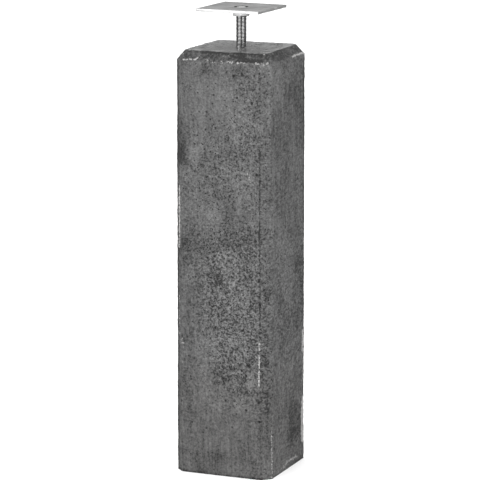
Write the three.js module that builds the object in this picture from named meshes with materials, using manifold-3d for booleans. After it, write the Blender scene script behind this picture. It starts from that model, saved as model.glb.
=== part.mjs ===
// Cast concrete post base: a tapered square block with a threaded rod cast into its top,
// and a square bearing plate that a hex nut raises and lowers on the rod.
// Millimetres, +Z up, origin at the middle of the underside.

import * as THREE from 'three';
import { mergeVertices } from 'three/addons/utils/BufferGeometryUtils.js';
import Module from 'manifold-3d';

// Concrete block
const BLOCK_HEIGHT = 630;
const BLOCK_TOP_SIDE = 150; // across opposite faces, just under the bevelled rim
const BLOCK_FOOT_SIDE = 152; // the mould widens downwards
const CORNER_CHAMFER_TOP = 11; // leg of the chamfer on each upright corner, under the rim
const CORNER_CHAMFER_FOOT = 12.5; // the same at the foot
const RIM_SETBACK = 11; // how far the bevelled rim draws the top face in
const RIM_HEIGHT = 14; // how far the bevelled rim reaches down
const TOP_FACE_CORNER_CUT = 7; // leg of the cut on each corner of the top face

// Threaded rod, a coarse metric thread
const ROD_DIAMETER = 16;
const THREAD_PITCH = 2;
const THREAD_DEPTH = 1.23; // crest to root, on the radius
const THREAD_CREST_FLAT = 0.3;
const THREAD_ROOT_FLAT = 0.5;
const THREAD_ALLOWANCE = 0.1; // the rolled thread measures this much under the rod's diameter
const THREAD_BELOW_CONCRETE = 2; // the modelled thread starts this far under the block's top face
const ROD_CAST_IN_LENGTH = 90; // inside the block
const ROD_END_CHAMFER = 1.2;
const CAST_IN_GAP = 0.3; // between the rod and the concrete around it

// Bearing plate
const PLATE_SIDE = 100;
const PLATE_THICKNESS = 4;
const PLATE_TOP_ABOVE_BLOCK = 58.5;
const PLATE_HOLE_CLEARANCE = 2; // between the rod and the plate's hole, on the radius
const PLATE_TURN_DEG = -2.3; // the plate stands a little turned against the block
const ROD_END_UNDER_PLATE_TOP = 0.6; // the rod's end lies just inside the plate's hole

// Hex nut, a thin one
const NUT_ACROSS_FLATS = 24;
const NUT_HEIGHT = 9;
const NUT_FACE_DIAMETER = 22.8; // flat ring that is left inside the corner chamfers
const NUT_CHAMFER_DEG = 30;
const NUT_BORE_CLEARANCE = 0.3; // between the thread's crests and the nut's bore, on the radius
const NUT_MOUTH_CHAMFER = 0.8;
const NUT_TURN_DEG = 23; // one corner points this far round from square to the block's front
const NUT_PLATE_GAP = 0.3; // between the nut and the plate that rests on it

// Roundness of the turned shapes, in sides
const THREAD_SIDES = 20;
const BORE_SIDES = 32;
const CHAMFER_SIDES = 48;
const HEX_SIDES = 6;

// How far a cutting tool runs past the piece that it cuts
const CUT_OVERRUN = 1;

// Sizes that follow from the ones above
const rodRadius = ROD_DIAMETER / 2;
const threadCrestRadius = rodRadius - THREAD_ALLOWANCE / 2;
const plateTop = BLOCK_HEIGHT + PLATE_TOP_ABOVE_BLOCK;
const plateUnderside = plateTop - PLATE_THICKNESS;
const nutBottom = plateUnderside - NUT_PLATE_GAP - NUT_HEIGHT;
const rodTop = plateTop - ROD_END_UNDER_PLATE_TOP;
const rodBottom = BLOCK_HEIGHT - ROD_CAST_IN_LENGTH;
const threadBottom = BLOCK_HEIGHT - THREAD_BELOW_CONCRETE;

const concrete = new THREE.MeshStandardMaterial({ color: 0x636363, roughness: 0.92, metalness: 0 });
const zincThread = new THREE.MeshStandardMaterial({ color: 0xa9adb0, roughness: 0.35, metalness: 1 });
const zincNut = new THREE.MeshStandardMaterial({ color: 0xc4c7c9, roughness: 0.32, metalness: 1 });
const zincPlate = new THREE.MeshStandardMaterial({ color: 0xb2b4b5, roughness: 0.45, metalness: 1 });

const wasm = await Module();
wasm.setup();

// A closed three.js geometry as a solid that can be joined and cut
function solid(geometry) {
  const bare = geometry.index ? geometry.toNonIndexed() : geometry.clone();
  bare.deleteAttribute('normal');
  bare.deleteAttribute('uv');
  const merged = mergeVertices(bare);
  return new wasm.Manifold(new wasm.Mesh({
    numProp: 3,
    vertProperties: new Float32Array(merged.attributes.position.array),
    triVerts: new Uint32Array(merged.index.array),
  }));
}

// The solid as a three.js geometry again, with flat faces
function geometryOf(body) {
  const mesh = body.getMesh();
  const geometry = new THREE.BufferGeometry();
  geometry.setAttribute('position', new THREE.BufferAttribute(new Float32Array(mesh.vertProperties), 3));
  geometry.setIndex(new THREE.BufferAttribute(new Uint32Array(mesh.triVerts), 1));
  geometry.computeVertexNormals();
  return geometry;
}

// A shape turned about Z from a profile of [radius, height] pairs, which starts and ends on the axis
function turned(profile, sides) {
  const points = profile.map(([radius, height]) => new THREE.Vector2(radius, height));
  return new THREE.LatheGeometry(points, sides).rotateX(Math.PI / 2);
}

function cylinder(radius, bottom, top, sides) {
  return turned([[0, bottom], [radius, bottom], [radius, top], [0, top]], sides);
}

// Eight points of a square with cut corners, anticlockwise from above
function cutSquare(side, cornerCut, height) {
  const half = side / 2;
  const inner = half - cornerCut;
  const corners = [[half, -inner], [half, inner], [inner, half], [-inner, half],
    [-half, inner], [-half, -inner], [-inner, -half], [inner, -half]];
  return corners.map(([x, y]) => [x, y, height]);
}

// A closed body through rings of equally many points, from the lowest ring to the highest
function ringStack(rings) {
  const count = rings[0].length;
  const faces = [];
  for (let level = 0; level < rings.length - 1; level += 1) {
    for (let i = 0; i < count; i += 1) {
      const here = level * count + i;
      const next = level * count + ((i + 1) % count);
      faces.push(here, next, next + count, here, next + count, here + count);
    }
  }
  const top = (rings.length - 1) * count;
  for (let i = 1; i < count - 1; i += 1) {
    faces.push(0, i + 1, i);
    faces.push(top, top + i, top + i + 1);
  }
  const geometry = new THREE.BufferGeometry();
  geometry.setAttribute('position', new THREE.Float32BufferAttribute(rings.flat(2), 3));
  geometry.setIndex(faces);
  return geometry;
}

// The block: foot, the line under the bevelled rim, and the top face, with a bore for the rod
function concreteBlock() {
  const body = ringStack([
    cutSquare(BLOCK_FOOT_SIDE, CORNER_CHAMFER_FOOT, 0),
    cutSquare(BLOCK_TOP_SIDE, CORNER_CHAMFER_TOP, BLOCK_HEIGHT - RIM_HEIGHT),
    cutSquare(BLOCK_TOP_SIDE - 2 * RIM_SETBACK, TOP_FACE_CORNER_CUT, BLOCK_HEIGHT),
  ]);
  const boreRadius = rodRadius + CAST_IN_GAP;
  const bore = cylinder(boreRadius, rodBottom - CAST_IN_GAP, BLOCK_HEIGHT + CUT_OVERRUN, BORE_SIDES);
  return geometryOf(solid(body).subtract(solid(bore)));
}

// A right-hand screw thread as one skewed grid: each row is one corner of the thread's profile,
// and a row's last point is the first point of the same corner one turn higher
function screwThread(bottom, top) {
  const rootRadius = threadCrestRadius - THREAD_DEPTH;
  const flank = (THREAD_PITCH - THREAD_CREST_FLAT - THREAD_ROOT_FLAT) / 2;
  const profile = [
    [rootRadius, 0],
    [rootRadius, THREAD_ROOT_FLAT],
    [threadCrestRadius, THREAD_ROOT_FLAT + flank],
    [threadCrestRadius, THREAD_ROOT_FLAT + flank + THREAD_CREST_FLAT],
  ];
  const start = bottom - 2 * THREAD_PITCH;
  const turns = Math.ceil((top - start) / THREAD_PITCH) + 1;
  const rows = turns * profile.length;
  const lastRow = rows - 1;
  const points = [];
  for (let row = 0; row < rows; row += 1) {
    const [radius, rise] = profile[row % profile.length];
    const turn = Math.floor(row / profile.length);
    for (let i = 0; i < THREAD_SIDES; i += 1) {
      const share = i / THREAD_SIDES;
      const angle = 2 * Math.PI * share;
      const height = start + rise + THREAD_PITCH * (turn + share);
      points.push(radius * Math.cos(angle), radius * Math.sin(angle), height);
    }
  }
  const at = (row, i) => (i < THREAD_SIDES ? row * THREAD_SIDES + i : (row + profile.length) * THREAD_SIDES);
  const faces = [];
  for (let row = 0; row < lastRow; row += 1) {
    for (let i = 0; i < THREAD_SIDES; i += 1) {
      const wraps = i === THREAD_SIDES - 1;
      if (wraps && row + 1 + profile.length > lastRow) continue;
      faces.push(at(row, i), at(row, i + 1), at(row + 1, i + 1));
      faces.push(at(row, i), at(row + 1, i + 1), at(row + 1, i));
    }
  }
  // Each end is a fan to a point on the axis, and its rim steps back over one whole profile
  const lowRim = [];
  const highRim = [];
  for (let i = 0; i < THREAD_SIDES; i += 1) {
    lowRim.push(at(0, i));
    highRim.push(at(lastRow, i));
  }
  for (let step = profile.length; step > 0; step -= 1) lowRim.push(at(step, 0));
  for (let step = 1; step <= profile.length; step += 1) highRim.push(at(lastRow - step, THREAD_SIDES - 1));
  const lowCentre = points.length / 3;
  points.push(0, 0, start + THREAD_PITCH / 2);
  const highCentre = lowCentre + 1;
  points.push(0, 0, start + THREAD_PITCH * turns);
  lowRim.forEach((point, i) => faces.push(lowCentre, lowRim[(i + 1) % lowRim.length], point));
  highRim.forEach((point, i) => faces.push(highCentre, point, highRim[(i + 1) % highRim.length]));
  const geometry = new THREE.BufferGeometry();
  geometry.setAttribute('position', new THREE.Float32BufferAttribute(points, 3));
  geometry.setIndex(faces);
  return geometry;
}

// The rod: thread as far as it shows, cut flat and chamfered at its end, on a plain cast-in stretch
function threadedRod() {
  const outside = threadCrestRadius + CUT_OVERRUN;
  const envelope = turned([
    [0, threadBottom - THREAD_PITCH / 2],
    [outside, threadBottom - THREAD_PITCH / 2],
    [outside, rodTop - ROD_END_CHAMFER - CUT_OVERRUN],
    [threadCrestRadius - ROD_END_CHAMFER, rodTop],
    [0, rodTop],
  ], CHAMFER_SIDES);
  const thread = solid(screwThread(threadBottom, rodTop)).intersect(solid(envelope));
  const castIn = solid(cylinder(rodRadius, rodBottom, threadBottom, CHAMFER_SIDES));
  return geometryOf(thread.add(castIn));
}

// The nut, standing on z = 0: a hexagon with both faces' corners turned off, and a chamfered bore
function hexNut() {
  const cornerRadius = NUT_ACROSS_FLATS / 2 / Math.cos(Math.PI / HEX_SIDES);
  const faceRadius = NUT_FACE_DIAMETER / 2;
  const outside = cornerRadius + CUT_OVERRUN;
  const drop = (outside - faceRadius) * Math.tan(THREE.MathUtils.degToRad(NUT_CHAMFER_DEG));
  const hexagon = cylinder(cornerRadius, 0, NUT_HEIGHT, HEX_SIDES);
  const envelope = turned([
    [0, 0], [faceRadius, 0], [outside, drop],
    [outside, NUT_HEIGHT - drop], [faceRadius, NUT_HEIGHT], [0, NUT_HEIGHT],
  ], CHAMFER_SIDES);
  const bore = rodRadius + NUT_BORE_CLEARANCE;
  const mouth = bore + NUT_MOUTH_CHAMFER + CUT_OVERRUN;
  const cutter = turned([
    [0, -CUT_OVERRUN], [mouth, -CUT_OVERRUN], [bore, NUT_MOUTH_CHAMFER],
    [bore, NUT_HEIGHT - NUT_MOUTH_CHAMFER], [mouth, NUT_HEIGHT + CUT_OVERRUN], [0, NUT_HEIGHT + CUT_OVERRUN],
  ], BORE_SIDES);
  return geometryOf(solid(hexagon).intersect(solid(envelope)).subtract(solid(cutter)));
}

// The plate, lying on z = 0, with one round hole for the rod
function bearingPlate() {
  const slab = new THREE.BoxGeometry(PLATE_SIDE, PLATE_SIDE, PLATE_THICKNESS);
  slab.translate(0, 0, PLATE_THICKNESS / 2);
  const holeRadius = rodRadius + PLATE_HOLE_CLEARANCE;
  const hole = cylinder(holeRadius, -CUT_OVERRUN, PLATE_THICKNESS + CUT_OVERRUN, BORE_SIDES);
  return geometryOf(solid(slab).subtract(solid(hole)));
}

function piece(name, geometry, material) {
  const mesh = new THREE.Mesh(geometry, material);
  mesh.name = name;
  return mesh;
}

const block = piece('concrete_block', concreteBlock(), concrete);
const rod = piece('threaded_rod', threadedRod(), zincThread);

const nut = piece('hex_nut', hexNut(), zincNut);
nut.position.z = nutBottom;
nut.rotation.z = THREE.MathUtils.degToRad(NUT_TURN_DEG);

const plate = piece('bearing_plate', bearingPlate(), zincPlate);
plate.position.z = plateUnderside;
plate.rotation.z = THREE.MathUtils.degToRad(PLATE_TURN_DEG);

const postBase = new THREE.Group();
postBase.add(block, rod, nut, plate);

export default postBase;
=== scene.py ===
"""Looks of a cast concrete post base with a bearing plate on a threaded rod.

Lengths are in metres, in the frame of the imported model. Places that were read off the
photograph are pixels of its 480 x 480 picture, and are carried onto the block along the
line of sight.
"""

import math
import random

import bmesh
import bpy
from mathutils import Matrix, Vector, noise


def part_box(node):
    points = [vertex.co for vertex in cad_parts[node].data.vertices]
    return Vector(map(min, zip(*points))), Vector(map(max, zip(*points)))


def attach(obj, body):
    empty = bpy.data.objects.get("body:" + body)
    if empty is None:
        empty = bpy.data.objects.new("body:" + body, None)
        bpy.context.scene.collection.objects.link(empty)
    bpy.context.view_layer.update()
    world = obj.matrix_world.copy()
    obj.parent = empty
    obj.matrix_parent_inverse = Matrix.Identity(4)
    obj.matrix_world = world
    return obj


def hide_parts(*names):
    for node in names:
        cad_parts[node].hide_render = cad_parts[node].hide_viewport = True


bl_info = {
    "name": "Cast Post Base",
    "version": (1, 0, 0),
    "blender": (4, 5, 0),
    "location": "View3D > Sidebar > Post Base",
    "description": "Weathered concrete block, zinc thread, nut and plate of a post base",
    "category": "Object",
}

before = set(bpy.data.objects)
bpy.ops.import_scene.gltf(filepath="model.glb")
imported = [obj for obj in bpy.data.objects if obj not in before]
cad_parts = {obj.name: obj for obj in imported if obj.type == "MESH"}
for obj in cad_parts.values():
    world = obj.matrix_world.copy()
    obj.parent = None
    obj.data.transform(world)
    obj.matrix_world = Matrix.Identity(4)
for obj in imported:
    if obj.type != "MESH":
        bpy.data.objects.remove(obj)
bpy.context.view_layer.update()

MM = 0.001

# The photograph's view: a level camera that looks down on the block from its front corner
PHOTO_SIDE = 480
VIEW_AZIMUTH = math.radians(22.74)
VIEW_ELEVATION = math.radians(11.26)
VIEW_DISTANCE = 4.300
FOCAL_PX = 2860
AIM_RIGHT = -0.0018
AIM_UP = 0.3352
SENSOR_MM = 36

# How finely the concrete is meshed
WIDE_CELLS = 50
CHAMFER_CELLS = 7
LONG_CELLS_FIRST = 19
LONG_CELLS_EACH = 13
RIM_CELLS = 8
TOP_STEP = 2.35 * MM
TOP_INNER = 7 * MM
FOOT_STEP = 3 * MM
FOOT_RINGS = 2

# Finer cells: how far they reach round a pore, and round a stroke that is narrow enough, in pixels
FINE_ROUND_PORE = 1.6 * MM
FINE_ROUND_STROKE = 1.6
WIDE_STROKE = 3

# Points closer than this are level with each other, or are merged
NEAR = 0.01 * MM
WELD = 0.001 * MM

# How far a surface faces the camera, upwards or downwards to count as seen, top, wall or underside
SEEN_FACING = 0.02
TOP_FACING = 0.93
WALL_FACING = 0.9
UNDER_FACING = -0.5

# Concrete: how far its surface strays from the mould's planes
SWELL_SIZE = 120 * MM
SWELL_HEIGHT = 0.45 * MM
WAVE_SIZE = 34 * MM
WAVE_HEIGHT = 0.16 * MM
GRAIN_SIZE = 5 * MM
GRAIN_HEIGHT = 0.10 * MM
TROWEL_SIZE = 9 * MM
TROWEL_SWEEP = 24 * MM
TROWEL_HEIGHT = 0.36 * MM
TROWEL_CENTRE = Vector((-40, 37, 0)) * MM
TROWEL_SINK = 0.25
TOP_SWELL_SHARE = 0.3
UNDER_SWELL_SHARE = 0.2

# Concrete: sizes of the patterns in its colour
CLOUD_SIZE = 60 * MM
PATCH_SIZE = 14 * MM
STREAK_SIZE = 3.4 * MM
RUN_SIZE = 11 * MM
DRIP_STRETCH = (1, 1, 0.14)
SPECK_SIZE = 4.5 * MM
DUST_SIZE = 2.4 * MM
SPECK_STRETCH = (1, 0.55, 1)
TROWEL_STREAK_SIZE = 4.5 * MM
LIME_CRUMB_SIZE = 3.0 * MM

# Concrete: how far each pattern lightens or darkens it
CLOUD_SHARE = 0.18
PATCH_SHARE = 0.13
RUN_SHARE = 0.15
TONE_SHARE = 0.34
SPECK_SHARE = 0.26
DUST_SHARE = 0.36
TROWEL_SHARE = 1.1
LEAST_BRIGHT = 0.2

# Concrete: how strong speckle and drip streaks are in calm and in crowded places
SPECKLE_CALM = 0.62
SPECKLE_CROWDED = 2.85
DRIPS_CALM = 0.32
DRIPS_CROWDED = 0.15

# Concrete: the trace of soil at the foot, full up to one height and gone at the other
SOIL_FULL = 120 * MM
SOIL_GONE = 200 * MM
SOIL_WARMTH = 0.012

# Concrete: fine pores that are drawn and not modelled, and the painted shade in them and in every pit
DOT_SPACING = 5.5 * MM
DOT_PATCH_SIZE = 9 * MM
DOT_CROWDING = 0.10
DOT_SHADE = 0.7
PIT_SHADE = 0.9
PIT_SHADE_GREY_SHARE = 0.15

# Concrete: fine relief, roughness of the walls and colour of the lime
SPECK_RELIEF = 0.30
DUST_RELIEF = 0.25
DOT_RELIEF = 1.6
RELIEF_DEPTH = 0.6 * MM
WALL_ROUGH_LEAST = 0.82
WALL_ROUGH_MOST = 0.95
LIME_GREY = 0.34
LIME_WARMTH = 0.01

# Concrete: the gloss of the trowelled top
TOP_ROUGH_LEAST = 0.24
TOP_ROUGH_MOST = 0.46
TOP_BUMP = 0.2
TOP_GLAZE_LEAST = 0.0
TOP_GLAZE_MOST = 0.4
GLAZE_ROUGH = 0.18

# Concrete: wear along the arrises
EDGE_REACH = 3.2 * MM
EDGE_WEAR = 1.1 * MM
EDGE_WEAR_SIZE = 14 * MM
EDGE_CHIP_SIZE = 3 * MM
FOOT_ARRIS_REACH = 20 * MM

# Larger pores: pixel of the photograph and radius in millimetres
BIG_PORES = [
    (233.5, 76, 2.2), (213.4, 95, 1.9), (259.3, 74, 1.8), (264.4, 77, 1.3), (206.5, 112, 1.6),
    (212.3, 103.5, 1.3), (236.8, 98, 1.9), (259.3, 89, 1.3), (251, 90, 1.3), (252, 103, 1.7),
    (219, 121, 1.3), (205.5, 129.6, 1.6), (238.6, 130, 1.4), (259.8, 124, 1.3), (268, 118.5, 1.4),
    (264.4, 170.6, 1.4), (256.5, 175.2, 2.6), (264.4, 187.4, 1.4), (219.3, 190.5, 1.4), (222.6, 170, 1.4),
    (207.6, 86.6, 1.2), (194.5, 144, 1.6), (242, 169.6, 1.3), (259.6, 182, 1.6), (291, 72.4, 1.2),
    (276.5, 128, 1.6), (259.4, 199.5, 1.5), (193, 277, 1.5), (181, 277, 1.8), (213.6, 252, 1.5),
    (221.2, 253, 1.5), (219, 255.5, 1.4), (207.4, 258, 1.9), (213, 261.4, 1.5), (224.3, 258.5, 1.4),
    (228.8, 261.3, 1.4), (232.9, 259.3, 1.3), (238.8, 254, 1.5), (240, 257.2, 1.4), (238.4, 263.2, 1.4),
    (259, 256, 1.5), (259, 273.5, 1.7), (258.8, 282, 1.7), (258.8, 297, 1.7), (259.5, 305.4, 2.4),
    (208.6, 287.2, 1.7), (220.5, 288.3, 1.5), (225.7, 294, 1.4), (209.2, 302.3, 1.6), (212.4, 306.9, 1.7),
    (215.2, 327.8, 1.9), (218, 316.3, 1.4), (221, 321.5, 1.5), (251, 317.2, 1.6), (248.2, 332, 1.8),
    (243, 331, 1.5), (232.4, 320.2, 1.4), (181.4, 336.2, 2.2), (187.2, 336.5, 1.5), (201, 306.5, 1.3),
    (192.6, 321.5, 1.3), (250.2, 339.2, 1.5), (223.3, 341.3, 1.3), (237.2, 348.8, 1.7), (231.9, 352.9, 1.5),
    (235.2, 359.5, 1.8), (248.6, 366, 2.3), (241.6, 371.1, 2.0), (243.8, 373.5, 1.4), (245.9, 376, 2.2),
    (190.5, 376.3, 1.6), (258.6, 403.3, 2.2), (259.2, 422.4, 2.2), (245.9, 410.6, 2.0), (225.5, 400.8, 1.9),
    (181.4, 400.4, 2.1), (236.4, 414, 1.3), (181.6, 441.6, 1.8), (280.8, 367.5, 1.5), (279.5, 398.2, 1.6),
    (281.9, 333.8, 1.7), (296.5, 404, 1.5), (192.4, 422, 1.4), (203, 432.5, 1.4), (206.2, 428.2, 1.3),
    (232, 427.3, 1.3),
]

# Broad light and dark clouds: pixel, half width and half height in pixels, strength
CLOUDS = [
    (207, 68, 7, 7, -1.2), (240, 72, 6, 14, -1.0), (227, 105, 14, 22, 1.0), (246, 132, 9, 10, 0.9),
    (214, 88, 8, 9, 0.7), (180.5, 153, 5, 9, -2.2), (197, 151, 7, 5, 0.9), (226, 158, 16, 5, -0.7),
    (236, 178, 14, 12, 0.6), (212, 216, 9, 10, 1.0), (254, 225, 5, 5, 1.3), (187, 247, 9, 14, -1.6),
    (212, 247, 14, 6, -0.9), (228, 240, 10, 6, -0.9), (252, 240, 10, 7, -0.8), (228, 262, 10, 9, 0.9),
    (218, 284, 5, 5, -1.5), (234, 284, 6, 6, 0.9), (235, 298, 8, 7, 0.6), (243, 277, 5, 2, -1.0),
    (207, 348, 12, 10, 0.9), (205, 367, 8, 9, 0.7), (251, 343, 5, 7, -0.6), (248, 364, 6, 7, -0.5),
    (255, 382, 4, 6, 1.1), (218, 374, 5, 9, -0.4), (242, 394, 12, 4, -0.8), (243, 410, 9, 9, 0.7),
    (222, 418, 6, 8, -0.5), (225, 458, 18, 6, -0.9), (248, 443, 8, 8, -0.7), (200, 440, 10, 12, 0.4),
    (190, 415, 4, 40, -0.5), (265, 70, 6, 8, 0.9), (265, 46, 16, 5, 0.4), (284, 57, 14, 4, -0.5),
    (270.2, 72, 1.6, 10, 1.5), (270, 102, 1.4, 16, 0.8), (269.4, 120, 1.6, 8, 0.9),
    (269.4, 230, 2.4, 14, 0.8), (266, 385, 5, 42, -0.6), (265, 398, 4, 12, -0.4), (266, 440, 4, 10, -0.8),
    (278, 90, 4, 18, 1.0), (289, 93, 4, 8, -0.8), (299, 110, 4, 20, -1.0), (281, 135, 5, 14, -0.4),
    (273, 222, 4, 8, 0.8), (299, 270, 4, 22, -1.2), (290, 322, 7, 14, -0.8), (274, 360, 4, 16, 0.6),
    (293, 400, 6, 14, -0.5), (293, 430, 6, 13, -1.6), (283, 250, 6, 30, 0.3), (283, 420, 5, 25, 0.3),
]

# Lime and bare aggregate: stroke's pixels from end to end, half width in pixels, strength
LIME_STROKES = [
    ([(183, 59.4), (196, 59.3)], 0.8, 1.05),
    ([(196, 59.3), (199, 55.5)], 0.8, 0.9),
    ([(199, 55.5), (200, 50.5)], 0.8, 0.62),
    ([(180, 57), (186, 51)], 0.7, 0.35),
    ([(204, 60), (212, 61.5), (226, 62.3), (236, 63)], 1.5, 0.40),
    ([(236, 63), (250, 63.4), (262, 63.6), (268, 63.5)], 1.2, 0.6),
    ([(221, 63), (221, 67)], 1.0, 0.4),
    ([(226, 56.5), (232, 56)], 0.6, 0.45),
    ([(260, 68), (266, 64)], 0.9, 0.5),
    ([(293, 56.5), (298, 54), (303, 52.5)], 1.3, 0.95),
    ([(262, 55), (276, 50), (290, 45.2)], 0.8, 0.42),
    ([(272, 430), (272, 478)], 1.0, 0.55),
    ([(259.2, 343), (259.2, 351)], 0.8, 0.85),
    ([(259.2, 356), (259.2, 368)], 0.8, 1.15),
    ([(259.2, 371), (259.2, 386)], 0.8, 1.1),
    ([(179.4, 186), (179.2, 247)], 0.9, 0.8),
    ([(179.6, 296), (179.8, 335)], 0.7, 0.4),
    ([(181.4, 339), (184, 347)], 1.9, 0.42),
    ([(303.4, 330), (302.8, 350)], 1.4, 0.95),
    ([(303, 352), (303.2, 378)], 0.9, 0.45),
    ([(303, 397), (302.4, 420), (302.6, 441)], 1.3, 1.2),
    ([(284, 467), (289, 460.5), (296, 456.5)], 1.6, 0.65),
    ([(276, 474), (283, 468)], 1.0, 0.45),
    ([(247, 173), (251, 183)], 0.7, 0.5),
    ([(253, 176), (256, 185)], 0.7, 0.4),
]

# Spalls where the arris has broken off: stroke's pixels, half width in pixels, depth in millimetres
SPALLS = [
    ([(304.5, 330), (303.6, 350), (304.5, 375)], 2.2, 1.6),
    ([(304, 397), (303.4, 420), (303.4, 441)], 2.0, 1.4),
    ([(281, 470), (289, 464), (297, 458)], 2.6, 1.8),
    ([(243, 478.5), (254, 480)], 2.0, 1.4),
    ([(195, 471), (204, 473)], 1.6, 1.2),
    ([(232, 55.6), (240, 58)], 1.8, 1.0),
    ([(236, 62.5), (262, 63.6)], 1.6, 1.1),
    ([(212, 61.5), (228, 62.5)], 1.4, 0.8),
]

# Dark lines, stains and one painted shadow: stroke's pixels from end to end, half width in pixels, strength
STAINS_AND_SHADOW = [
    # Painted shadow on the top face below the rod's foot
    ([(241.2, 47.8), (241.2, 52.4)], 4.4, 1.3),
    ([(259.8, 150), (259.7, 240), (260, 335)], 0.6, 2.8),
    ([(260, 335), (261, 475)], 0.8, 0.8),
    ([(271.6, 130), (271.8, 200)], 0.8, 1.0),
    ([(177.8, 62), (178.2, 250), (178.8, 464)], 1.1, 1.9),
    ([(304.0, 60), (303.4, 250), (303.0, 320)], 1.1, 1.5),
    ([(200, 52.5), (214, 53), (228, 54.5), (238, 57.5), (250, 60.5), (262, 60.5)], 1.0, 1.6),
    ([(201, 51.4), (232, 52.8), (262, 54.6)], 1.1, 1.3),
    ([(238, 61.3), (262, 62.2)], 0.8, 1.5),
    ([(179, 467), (184, 470.5), (222, 475.8), (262, 479.2)], 1.0, 2.0),
    ([(272, 478.6), (303, 457)], 1.0, 1.2),
]

# How much darker the rim is, and how unevenly, and how the plain tone wanders
RIM_DARKENING = 1.3
RIM_DARKENING_SIZE = 9 * MM
TONE_SIZE = 25 * MM
TONE_SWING = 0.5

# Hairline cracks: pixels from end to end, then their half width in pixels, depth and the darkness of their
# painted shade
CRACKS = [
    [(248, 421), (254, 421.5), (260.5, 422)],
    [(185, 411), (190, 412.4), (194, 413)],
]
CRACK_WIDTH = 0.9
CRACK_DEPTH = 0.7 * MM
CRACK_SHADE = 0.8

# How far out a large pore's rim is drawn down, how square its hollow is, its depth and the darkness of its
# painted shade
PORE_REACH = 1.15
PORE_SQUARE = 4
PORE_DEPTH_SHARE = 0.85
PORE_SHADE = 1.3

# Spalls: how deep they bite on the whole, how unevenly, and over what size
SPALL_BITE = 0.55
SPALL_SWING = 0.6
SPALL_SIZE = 4 * MM

# Where small pores crowd, and where they are few: pixel, half width, half height, strength
PORE_CROWDS = [
    (225, 290, 20, 60, 2.2), (240, 350, 16, 35, 2.4), (250, 110, 14, 40, 1.0), (230, 160, 30, 30, 0.6),
    (250, 250, 10, 60, 0.8), (262, 330, 8, 90, 0.8), (286, 310, 12, 110, 0.7),
]
CALM_PLACES = [
    (290, 250, 16, 200, 0.35), (238, 217, 20, 15, 1.0), (215, 440, 40, 45, 0.6), (203, 100, 22, 35, 0.4),
    (190, 310, 9, 40, 0.5),
]

# Small pores: how many, the least cell that takes one, and the crowd that draws one for certain
SMALL_PORES = 1500
PORE_CELL = 1.6 * MM
CROWD_USUAL = 0.5
CROWD_LEAST = 0.05
CROWD_FULL = 3
PORE_RIM = 0.30 * MM
PORE_WALL = 0.35 * MM
PORE_DEPTH = 1.1 * MM
PORE_SEED = 11

# What each point of the concrete keeps for the material
MASKS = ("tone", "lime", "pit_shade", "crowd", "top")

# Zinc-plated thread, nut and plate
ROD_RADIUS = 8 * MM
THREAD_PITCH = 2 * MM
THREAD_DEPTH = 1.23 * MM
THREAD_ROOT_SHARE = 0.20
THREAD_FLANK_SHARE = 0.27
THREAD_SIDES = 48
ROD_END_CHAMFER = 1.3 * MM
ROD_SUNK = 6 * MM
# Painted shade with some dust in the roots of the thread
ROOT_SHADE_AND_DUST_GREY = 0.055
CREST_GREY = 0.75
SAWN_GREY = 0.6
NUT_ACROSS_FLATS = 24 * MM
NUT_FACE_RADIUS = 11.4 * MM
NUT_BORE_RADIUS = 8.3 * MM
NUT_MOUTH_WIDENING = 1.8 * MM
NUT_MOUTH_DEPTH = 0.8 * MM
NUT_EDGE = 0.18 * MM
NUT_EDGE_ANGLE = math.radians(25)
NUT_FACE_SIDES = 96
NUT_BORE_SIDES = 64
NUT_TURN = math.radians(23)
NUT_CHAMFER = math.radians(30)
PLATE_SIDE = 100 * MM
PLATE_TURN = math.radians(-2.3)
PLATE_HOLE_RADIUS = 10 * MM
PLATE_HOLE_SIDES = 96
PLATE_EDGE = 0.35 * MM
PLATE_EDGE_ANGLE = math.radians(40)
# Inside a bore the zinc is dark with painted shade and some grease
BORE_SHADE_AND_GREASE_GREY = 0.05
BORE_FADE = 0.3 * MM
ZINC_FINE_SIZE = 0.8 * MM
WIPE_SIZE = 3 * MM
WIPE_STRETCH = (0.15, 1.0, 1.0)
WIPE_TURN = 0.4

# How far a cutting body stands clear of what it cuts
CUTTER_MARGIN = 1 * MM

# Studio: the air's light is counted by how steeply one looks up, where 1 is straight up
FLOOR_HALF = 14.0
FLOOR_ROUGH = 0.9
LIGHT_AIM_HEIGHT = 0.33
WALL_LIGHT = 0.28
WALL_ENDS = 0.15
CEILING_LIGHT = 1.9
CEILING_STARTS = 0.7
CAMERA_FAR = 100


def view_axes():
    """Directions to the right, up and back towards the camera in the photograph's view."""
    back = Vector((
        math.sin(VIEW_AZIMUTH) * math.cos(VIEW_ELEVATION),
        -math.cos(VIEW_AZIMUTH) * math.cos(VIEW_ELEVATION),
        math.sin(VIEW_ELEVATION),
    ))
    right = Vector((math.cos(VIEW_AZIMUTH), math.sin(VIEW_AZIMUTH), 0))
    return right, back.cross(right), back


RIGHT, UP, BACK = view_axes()
EYE = RIGHT * AIM_RIGHT + UP * AIM_UP + BACK * VIEW_DISTANCE


def photo_pixel(point):
    """Pixel of the photograph in which a point lies."""
    depth = VIEW_DISTANCE - point.dot(BACK)
    across = FOCAL_PX * (point.dot(RIGHT) - AIM_RIGHT) / depth
    upwards = FOCAL_PX * (point.dot(UP) - AIM_UP) / depth
    return PHOTO_SIDE / 2 + across, PHOTO_SIDE / 2 - upwards


def on_block(pixel_x, pixel_y):
    """Place on the block that a pixel shows."""
    ray = RIGHT * (pixel_x - PHOTO_SIDE / 2) + UP * (PHOTO_SIDE / 2 - pixel_y) - BACK * FOCAL_PX
    hit, place, _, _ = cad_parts["concrete_block"].ray_cast(EYE, ray.normalized())
    if not hit:
        raise ValueError(f"pixel {pixel_x}, {pixel_y} is off the block")
    return place


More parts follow.
